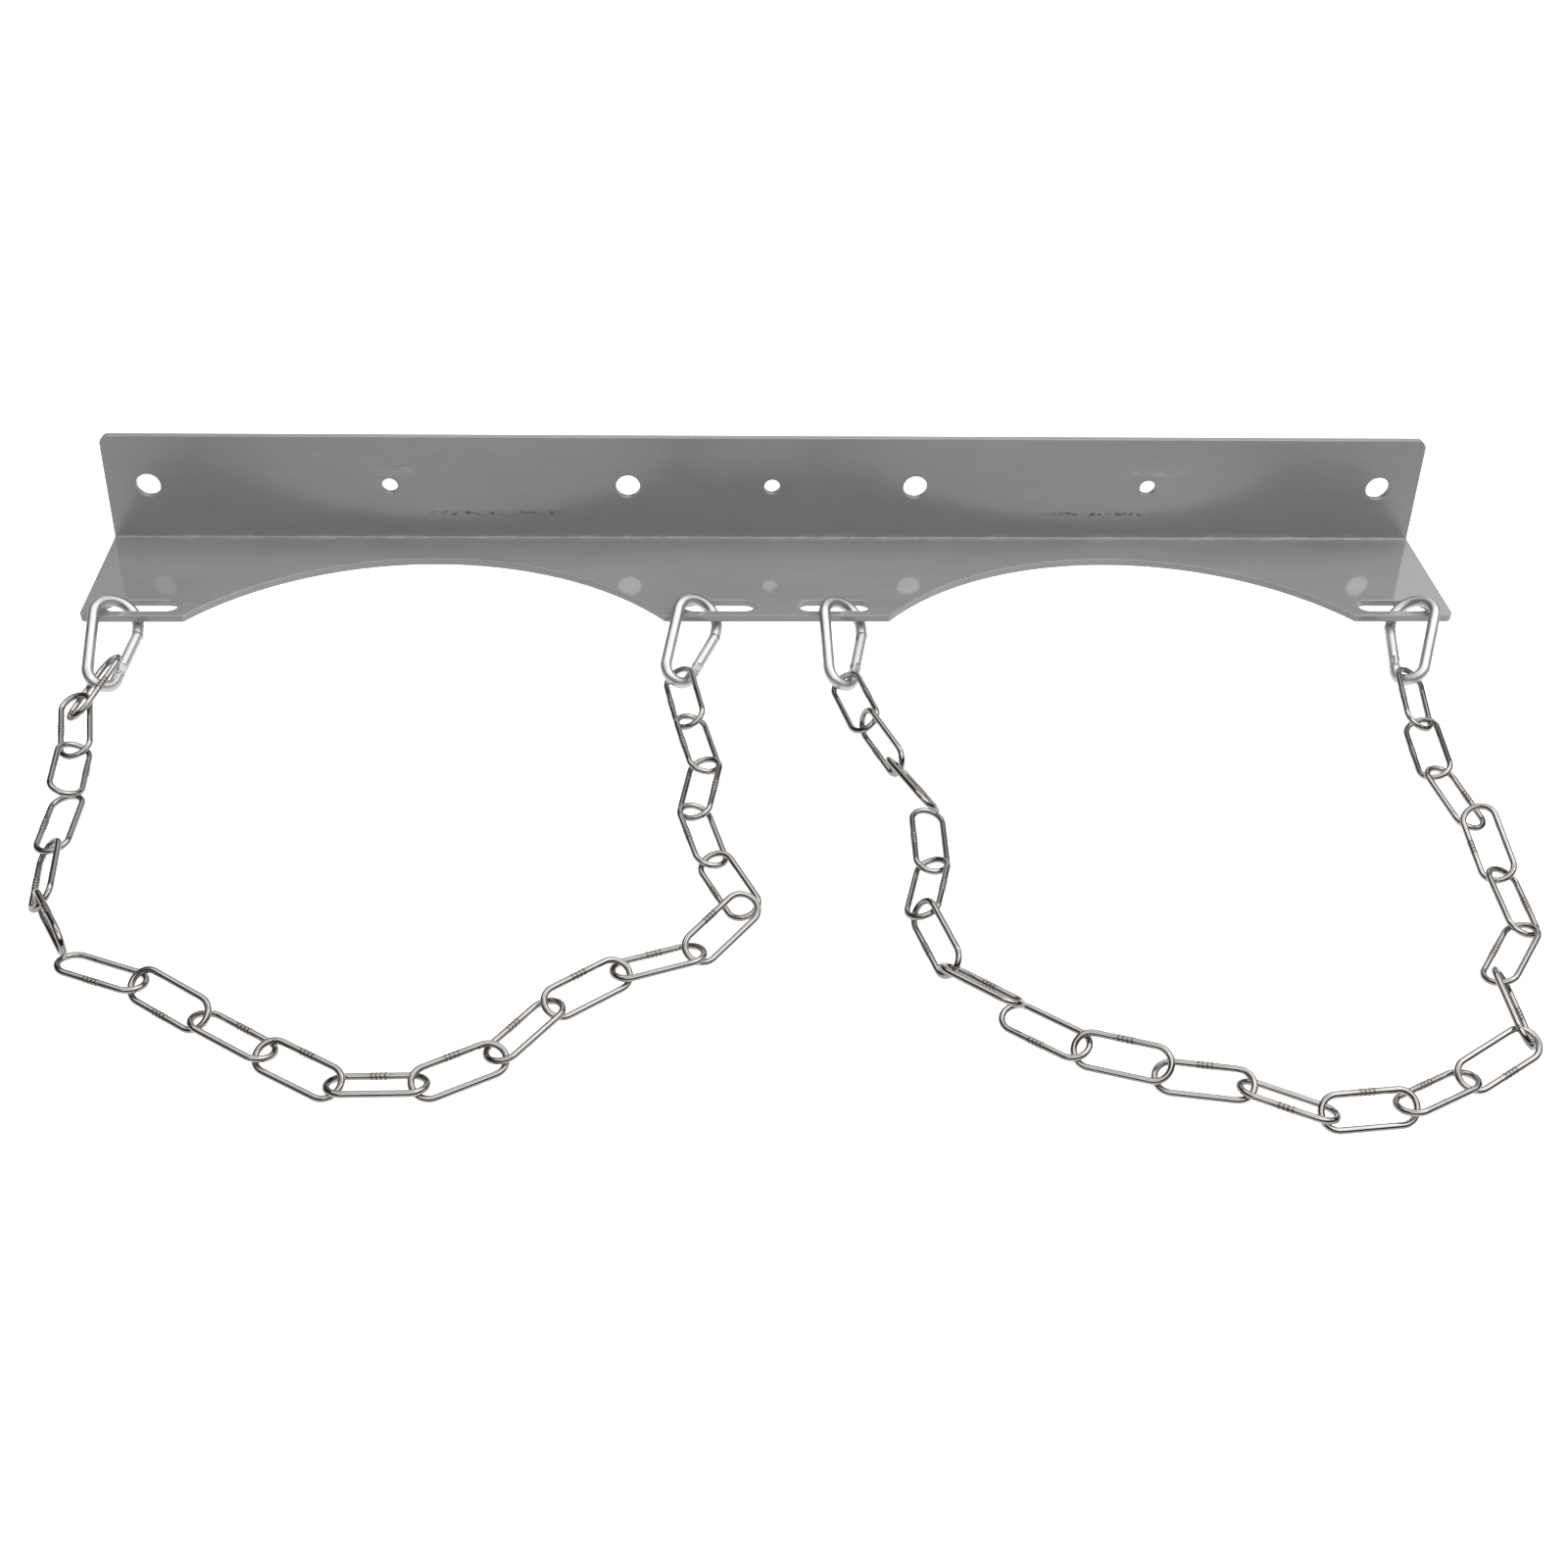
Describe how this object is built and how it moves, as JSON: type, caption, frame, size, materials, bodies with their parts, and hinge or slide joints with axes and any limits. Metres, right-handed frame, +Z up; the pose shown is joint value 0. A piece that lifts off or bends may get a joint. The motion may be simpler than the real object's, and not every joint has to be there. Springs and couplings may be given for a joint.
{
  "type": "gas cylinder bracket",
  "caption": "Folded steel wall bracket with two arc cradles for gas cylinders and two welded retaining chains on spring snap hooks.",
  "frame": {"origin": "on the floor under the fold line of the bracket, at the middle of its length; the bracket lies as set down, on its heel and leaning back on the snap hooks under its front strip", "axes": "+X along the bracket to its right seen from the front, +Y towards the wall side, +Z up from the floor; the bracket itself is turned 8.8 degrees about X from its wall position"},
  "size_m": [0.6006, 0.3564, 0.0526],
  "materials": {
    "bracket_paint": "smooth semi-gloss grey powder coat",
    "hook_zinc": "bright zinc plate",
    "chain_steel": "satin bright steel with dull weld marks"
  },
  "bodies": {
    "bracket": {"bracket": "bracket_paint"},
    "left_outer_hook": {"left_outer_hook": "hook_zinc"},
    "left_outer_gate": {"left_outer_gate": "hook_zinc", "left_outer_pin": "hook_zinc", "left_outer_rod": "hook_zinc"},
    "left_inner_hook": {"left_inner_hook": "hook_zinc"},
    "left_inner_gate": {"left_inner_gate": "hook_zinc", "left_inner_pin": "hook_zinc", "left_inner_rod": "hook_zinc"},
    "right_inner_hook": {"right_inner_hook": "hook_zinc"},
    "right_inner_gate": {"right_inner_gate": "hook_zinc", "right_inner_pin": "hook_zinc", "right_inner_rod": "hook_zinc"},
    "right_outer_hook": {"right_outer_hook": "hook_zinc"},
    "right_outer_gate": {"right_outer_gate": "hook_zinc", "right_outer_pin": "hook_zinc", "right_outer_rod": "hook_zinc"},
    "left_link_01": {"left_link_01": "chain_steel"},
    "left_link_02": {"left_link_02": "chain_steel"},
    "left_link_03": {"left_link_03": "chain_steel"},
    "left_link_04": {"left_link_04": "chain_steel"},
    "left_link_05": {"left_link_05": "chain_steel"},
    "left_link_06": {"left_link_06": "chain_steel"},
    "left_link_07": {"left_link_07": "chain_steel"},
    "left_link_08": {"left_link_08": "chain_steel"},
    "left_link_09": {"left_link_09": "chain_steel"},
    "left_link_10": {"left_link_10": "chain_steel"},
    "left_link_11": {"left_link_11": "chain_steel"},
    "left_link_12": {"left_link_12": "chain_steel"},
    "left_link_13": {"left_link_13": "chain_steel"},
    "left_link_14": {"left_link_14": "chain_steel"},
    "left_link_15": {"left_link_15": "chain_steel"},
    "left_link_16": {"left_link_16": "chain_steel"},
    "left_link_17": {"left_link_17": "chain_steel"},
    "left_link_18": {"left_link_18": "chain_steel"},
    "left_link_19": {"left_link_19": "chain_steel"},
    "left_link_20": {"left_link_20": "chain_steel"},
    "left_link_21": {"left_link_21": "chain_steel"},
    "right_link_01": {"right_link_01": "chain_steel"},
    "right_link_02": {"right_link_02": "chain_steel"},
    "right_link_03": {"right_link_03": "chain_steel"},
    "right_link_04": {"right_link_04": "chain_steel"},
    "right_link_05": {"right_link_05": "chain_steel"},
    "right_link_06": {"right_link_06": "chain_steel"},
    "right_link_07": {"right_link_07": "chain_steel"},
    "right_link_08": {"right_link_08": "chain_steel"},
    "right_link_09": {"right_link_09": "chain_steel"},
    "right_link_10": {"right_link_10": "chain_steel"},
    "right_link_11": {"right_link_11": "chain_steel"},
    "right_link_12": {"right_link_12": "chain_steel"},
    "right_link_13": {"right_link_13": "chain_steel"},
    "right_link_14": {"right_link_14": "chain_steel"},
    "right_link_15": {"right_link_15": "chain_steel"},
    "right_link_16": {"right_link_16": "chain_steel"},
    "right_link_17": {"right_link_17": "chain_steel"},
    "right_link_18": {"right_link_18": "chain_steel"},
    "right_link_19": {"right_link_19": "chain_steel"},
    "right_link_20": {"right_link_20": "chain_steel"},
    "right_link_21": {"right_link_21": "chain_steel"}
  },
  "joints": [
    {"name": "left_chain_swing", "type": "hinge", "parent": "bracket", "child": "left_outer_hook", "pos_m": [-0.2853, -0.07, 0.01221], "axis": [1, 0, 0], "range_deg": [-15, 80]},
    {"name": "left_inner_swing", "type": "hinge", "parent": "bracket", "child": "left_inner_hook", "pos_m": [-0.0443, -0.07, 0.01221], "axis": [1, 0, 0], "range_deg": [-15, 80]},
    {"name": "left_chain_sway", "type": "hinge", "parent": "left_outer_hook", "child": "left_link_01", "pos_m": [-0.2858, -0.1066, 0.004], "axis": [0, 0, 1], "range_deg": [-4, 4]},
    {"name": "left_link_02_turn", "type": "hinge", "parent": "left_link_01", "child": "left_link_02", "pos_m": [-0.2938, -0.1173, 0.004], "axis": [0, 0, 1], "range_deg": [-0.468, 0.468]},
    {"name": "left_link_03_turn", "type": "hinge", "parent": "left_link_02", "child": "left_link_03", "pos_m": [-0.2885, -0.1455, 0.004], "axis": [0, 0, 1], "range_deg": [-0.468, 0.468]},
    {"name": "left_link_04_turn", "type": "hinge", "parent": "left_link_03", "child": "left_link_04", "pos_m": [-0.2855, -0.174, 0.004], "axis": [0, 0, 1], "range_deg": [-0.474, 0.474]},
    {"name": "left_link_05_turn", "type": "hinge", "parent": "left_link_04", "child": "left_link_05", "pos_m": [-0.2855, -0.2045, 0.004], "axis": [0, 0, 1], "range_deg": [-0.474, 0.474]},
    {"name": "left_link_06_turn", "type": "hinge", "parent": "left_link_05", "child": "left_link_06", "pos_m": [-0.2825, -0.2355, 0.004], "axis": [0, 0, 1], "range_deg": [-0.95, 0.95]},
    {"name": "left_link_07_turn", "type": "hinge", "parent": "left_link_06", "child": "left_link_07", "pos_m": [-0.2685, -0.261, 0.004], "axis": [0, 0, 1], "range_deg": [-1.83, 1.83]},
    {"name": "left_link_08_turn", "type": "hinge", "parent": "left_link_07", "child": "left_link_08", "pos_m": [-0.24, -0.2725, 0.004], "axis": [0, 0, 1], "range_deg": [-0.79, 0.79]},
    {"name": "left_link_09_turn", "type": "hinge", "parent": "left_link_08", "child": "left_link_09", "pos_m": [-0.2145, -0.29, 0.004], "axis": [0, 0, 1], "range_deg": [-0.76, 0.76]},
    {"name": "left_link_10_turn", "type": "hinge", "parent": "left_link_09", "child": "left_link_10", "pos_m": [-0.1905, -0.3055, 0.004], "axis": [0, 0, 1], "range_deg": [-0.91, 0.91]},
    {"name": "left_link_11_turn", "type": "hinge", "parent": "left_link_10", "child": "left_link_11", "pos_m": [-0.1645, -0.321, 0.004], "axis": [0, 0, 1], "range_deg": [-1, 1]},
    {"name": "left_link_12_turn", "type": "hinge", "parent": "left_link_11", "child": "left_link_12", "pos_m": [-0.134, -0.321, 0.004], "axis": [0, 0, 1], "range_deg": [-0.97, 0.97]},
    {"name": "left_link_13_turn", "type": "hinge", "parent": "left_link_12", "child": "left_link_13", "pos_m": [-0.1085, -0.308, 0.004], "axis": [0, 0, 1], "range_deg": [-1.13, 1.13]},
    {"name": "left_link_14_turn", "type": "hinge", "parent": "left_link_13", "child": "left_link_14", "pos_m": [-0.0895, -0.285, 0.004], "axis": [0, 0, 1], "range_deg": [-0.48, 0.48]},
    {"name": "left_link_15_turn", "type": "hinge", "parent": "left_link_14", "child": "left_link_15", "pos_m": [-0.065, -0.2685, 0.004], "axis": [0, 0, 1], "range_deg": [-0.48, 0.48]},
    {"name": "left_link_16_turn", "type": "hinge", "parent": "left_link_15", "child": "left_link_16", "pos_m": [-0.0375, -0.2595, 0.004], "axis": [0, 0, 1], "range_deg": [-1.48, 1.48]},
    {"name": "left_link_17_turn", "type": "hinge", "parent": "left_link_16", "child": "left_link_17", "pos_m": [-0.0175, -0.2385, 0.004], "axis": [0, 0, 1], "range_deg": [-1.44, 1.44]},
    {"name": "left_link_18_turn", "type": "hinge", "parent": "left_link_17", "child": "left_link_18", "pos_m": [-0.0305, -0.2105, 0.004], "axis": [0, 0, 1], "range_deg": [-0.56, 0.56]},
    {"name": "left_link_19_turn", "type": "hinge", "parent": "left_link_18", "child": "left_link_19", "pos_m": [-0.0375, -0.1835, 0.004], "axis": [0, 0, 1], "range_deg": [-0.48, 0.48]},
    {"name": "left_link_20_turn", "type": "hinge", "parent": "left_link_19", "child": "left_link_20", "pos_m": [-0.0325, -0.1565, 0.004], "axis": [0, 0, 1], "range_deg": [-0.474, 0.474]},
    {"name": "left_link_21_turn", "type": "hinge", "parent": "left_link_20", "child": "left_link_21", "pos_m": [-0.0385, -0.1295, 0.004], "axis": [0, 0, 1], "range_deg": [-0.474, 0.474]},
    {"name": "right_chain_swing", "type": "hinge", "parent": "bracket", "child": "right_inner_hook", "pos_m": [0.0265, -0.07, 0.01221], "axis": [1, 0, 0], "range_deg": [-15, 80]},
    {"name": "right_outer_swing", "type": "hinge", "parent": "bracket", "child": "right_outer_hook", "pos_m": [0.273, -0.07, 0.01221], "axis": [1, 0, 0], "range_deg": [-15, 80]},
    {"name": "right_chain_sway", "type": "hinge", "parent": "right_inner_hook", "child": "right_link_01", "pos_m": [0.0273, -0.1044, 0.004], "axis": [0, 0, 1], "range_deg": [-4, 4]},
    {"name": "right_link_02_turn", "type": "hinge", "parent": "right_link_01", "child": "right_link_02", "pos_m": [0.035, -0.1345, 0.004], "axis": [0, 0, 1], "range_deg": [-2.11, 2.11]},
    {"name": "right_link_03_turn", "type": "hinge", "parent": "right_link_02", "child": "right_link_03", "pos_m": [0.0455, -0.1605, 0.004], "axis": [0, 0, 1], "range_deg": [-0.474, 0.474]},
    {"name": "right_link_04_turn", "type": "hinge", "parent": "right_link_03", "child": "right_link_04", "pos_m": [0.056, -0.186, 0.004], "axis": [0, 0, 1], "range_deg": [-2.26, 2.26]},
    {"name": "right_link_05_turn", "type": "hinge", "parent": "right_link_04", "child": "right_link_05", "pos_m": [0.0555, -0.215, 0.004], "axis": [0, 0, 1], "range_deg": [-1.1, 1.1]},
    {"name": "right_link_06_turn", "type": "hinge", "parent": "right_link_05", "child": "right_link_06", "pos_m": [0.0485, -0.242, 0.004], "axis": [0, 0, 1], "range_deg": [-3.29, 3.29]},
    {"name": "right_link_07_turn", "type": "hinge", "parent": "right_link_06", "child": "right_link_07", "pos_m": [0.057, -0.2705, 0.004], "axis": [0, 0, 1], "range_deg": [-2.38, 2.38]},
    {"name": "right_link_08_turn", "type": "hinge", "parent": "right_link_07", "child": "right_link_08", "pos_m": [0.0775, -0.29, 0.004], "axis": [0, 0, 1], "range_deg": [-0.87, 0.87]},
    {"name": "right_link_09_turn", "type": "hinge", "parent": "right_link_08", "child": "right_link_09", "pos_m": [0.1, -0.309, 0.004], "axis": [0, 0, 1], "range_deg": [-0.74, 0.74]},
    {"name": "right_link_10_turn", "type": "hinge", "parent": "right_link_09", "child": "right_link_10", "pos_m": [0.128, -0.32, 0.004], "axis": [0, 0, 1], "range_deg": [-0.48, 0.48]},
    {"name": "right_link_11_turn", "type": "hinge", "parent": "right_link_10", "child": "right_link_11", "pos_m": [0.157, -0.3265, 0.004], "axis": [0, 0, 1], "range_deg": [-0.474, 0.474]},
    {"name": "right_link_12_turn", "type": "hinge", "parent": "right_link_11", "child": "right_link_12", "pos_m": [0.184, -0.3395, 0.004], "axis": [0, 0, 1], "range_deg": [-0.71, 0.71]},
    {"name": "right_link_13_turn", "type": "hinge", "parent": "right_link_12", "child": "right_link_13", "pos_m": [0.212, -0.337, 0.004], "axis": [0, 0, 1], "range_deg": [-0.474, 0.474]},
    {"name": "right_link_14_turn", "type": "hinge", "parent": "right_link_13", "child": "right_link_14", "pos_m": [0.2375, -0.3235, 0.004], "axis": [0, 0, 1], "range_deg": [-0.48, 0.48]},
    {"name": "right_link_15_turn", "type": "hinge", "parent": "right_link_14", "child": "right_link_15", "pos_m": [0.2635, -0.309, 0.004], "axis": [0, 0, 1], "range_deg": [-1.66, 1.66]},
    {"name": "right_link_16_turn", "type": "hinge", "parent": "right_link_15", "child": "right_link_16", "pos_m": [0.262, -0.277, 0.004], "axis": [0, 0, 1], "range_deg": [-0.48, 0.48]},
    {"name": "right_link_17_turn", "type": "hinge", "parent": "right_link_16", "child": "right_link_17", "pos_m": [0.2805, -0.251, 0.004], "axis": [0, 0, 1], "range_deg": [-2.77, 2.77]},
    {"name": "right_link_18_turn", "type": "hinge", "parent": "right_link_17", "child": "right_link_18", "pos_m": [0.2795, -0.222, 0.004], "axis": [0, 0, 1], "range_deg": [-2.1, 2.1]},
    {"name": "right_link_19_turn", "type": "hinge", "parent": "right_link_18", "child": "right_link_19", "pos_m": [0.277, -0.1925, 0.004], "axis": [0, 0, 1], "range_deg": [-1.36, 1.36]},
    {"name": "right_link_20_turn", "type": "hinge", "parent": "right_link_19", "child": "right_link_20", "pos_m": [0.27, -0.163, 0.004], "axis": [0, 0, 1], "range_deg": [-1.96, 1.96]},
    {"name": "right_link_21_turn", "type": "hinge", "parent": "right_link_20", "child": "right_link_21", "pos_m": [0.271, -0.133, 0.004], "axis": [0, 0, 1], "range_deg": [-1.07, 1.07]},
    {"name": "left_outer_gate_swing", "type": "hinge", "parent": "left_outer_hook", "child": "left_outer_gate", "pos_m": [-0.27966, -0.09611, 0.00313], "axis": [0.5913, -0.1869, 0.7845], "range_deg": [0, 28], "stiffness_Nm_per_rad": 0.02, "springref_deg": -20.05},
    {"name": "left_inner_gate_swing", "type": "hinge", "parent": "left_inner_hook", "child": "left_inner_gate", "pos_m": [-0.03621, -0.09571, 0.003], "axis": [0.5383, -0.311, 0.7832], "range_deg": [0, 28], "stiffness_Nm_per_rad": 0.02, "springref_deg": -20.05},
    {"name": "right_inner_gate_swing", "type": "hinge", "parent": "right_inner_hook", "child": "right_inner_gate", "pos_m": [0.03258, -0.09644, 0.00307], "axis": [0.5572, -0.1943, 0.8073], "range_deg": [0, 28], "stiffness_Nm_per_rad": 0.02, "springref_deg": -20.05},
    {"name": "right_outer_gate_swing", "type": "hinge", "parent": "right_outer_hook", "child": "right_outer_gate", "pos_m": [0.27061, -0.09233, 0.00323], "axis": [0.5692, 0.0304, -0.8216], "range_deg": [0, 28], "stiffness_Nm_per_rad": 0.02, "springref_deg": -20.05}
  ],
  "couplings": [
    {"joint": "left_inner_swing", "follows": "left_chain_swing", "ratio": 1},
    {"joint": "left_link_02_turn", "follows": "left_chain_sway", "ratio": -0.073},
    {"joint": "left_link_03_turn", "follows": "left_chain_sway", "ratio": -0.073},
    {"joint": "left_link_04_turn", "follows": "left_chain_sway", "ratio": -0.074},
    {"joint": "left_link_05_turn", "follows": "left_chain_sway", "ratio": -0.074},
    {"joint": "left_link_06_turn", "follows": "left_chain_sway", "ratio": -0.154},
    {"joint": "left_link_07_turn", "follows": "left_chain_sway", "ratio": -0.3},
    {"joint": "left_link_08_turn", "follows": "left_chain_sway", "ratio": -0.126},
    {"joint": "left_link_09_turn", "follows": "left_chain_sway", "ratio": -0.121},
    {"joint": "left_link_10_turn", "follows": "left_chain_sway", "ratio": -0.146},
    {"joint": "left_link_11_turn", "follows": "left_chain_sway", "ratio": -0.162},
    {"joint": "left_link_12_turn", "follows": "left_chain_sway", "ratio": 0.156},
    {"joint": "left_link_13_turn", "follows": "left_chain_sway", "ratio": 0.183},
    {"joint": "left_link_14_turn", "follows": "left_chain_sway", "ratio": 0.075},
    {"joint": "left_link_15_turn", "follows": "left_chain_sway", "ratio": 0.075},
    {"joint": "left_link_16_turn", "follows": "left_chain_sway", "ratio": 0.242},
    {"joint": "left_link_17_turn", "follows": "left_chain_sway", "ratio": 0.235},
    {"joint": "left_link_18_turn", "follows": "left_chain_sway", "ratio": 0.089},
    {"joint": "left_link_19_turn", "follows": "left_chain_sway", "ratio": 0.075},
    {"joint": "left_link_20_turn", "follows": "left_chain_sway", "ratio": 0.074},
    {"joint": "left_link_21_turn", "follows": "left_chain_sway", "ratio": 0.074},
    {"joint": "right_outer_swing", "follows": "right_chain_swing", "ratio": 1},
    {"joint": "right_link_02_turn", "follows": "right_chain_sway", "ratio": -0.347},
    {"joint": "right_link_03_turn", "follows": "right_chain_sway", "ratio": -0.074},
    {"joint": "right_link_04_turn", "follows": "right_chain_sway", "ratio": 0.372},
    {"joint": "right_link_05_turn", "follows": "right_chain_sway", "ratio": 0.178},
    {"joint": "right_link_06_turn", "follows": "right_chain_sway", "ratio": -0.544},
    {"joint": "right_link_07_turn", "follows": "right_chain_sway", "ratio": -0.392},
    {"joint": "right_link_08_turn", "follows": "right_chain_sway", "ratio": -0.14},
    {"joint": "right_link_09_turn", "follows": "right_chain_sway", "ratio": -0.119},
    {"joint": "right_link_10_turn", "follows": "right_chain_sway", "ratio": -0.075},
    {"joint": "right_link_11_turn", "follows": "right_chain_sway", "ratio": 0.074},
    {"joint": "right_link_12_turn", "follows": "right_chain_sway", "ratio": -0.113},
    {"joint": "right_link_13_turn", "follows": "right_chain_sway", "ratio": 0.074},
    {"joint": "right_link_14_turn", "follows": "right_chain_sway", "ratio": 0.075},
    {"joint": "right_link_15_turn", "follows": "right_chain_sway", "ratio": 0.272},
    {"joint": "right_link_16_turn", "follows": "right_chain_sway", "ratio": -0.075},
    {"joint": "right_link_17_turn", "follows": "right_chain_sway", "ratio": 0.456},
    {"joint": "right_link_18_turn", "follows": "right_chain_sway", "ratio": 0.345},
    {"joint": "right_link_19_turn", "follows": "right_chain_sway", "ratio": 0.222},
    {"joint": "right_link_20_turn", "follows": "right_chain_sway", "ratio": -0.321},
    {"joint": "right_link_21_turn", "follows": "right_chain_sway", "ratio": -0.173}
  ]
}
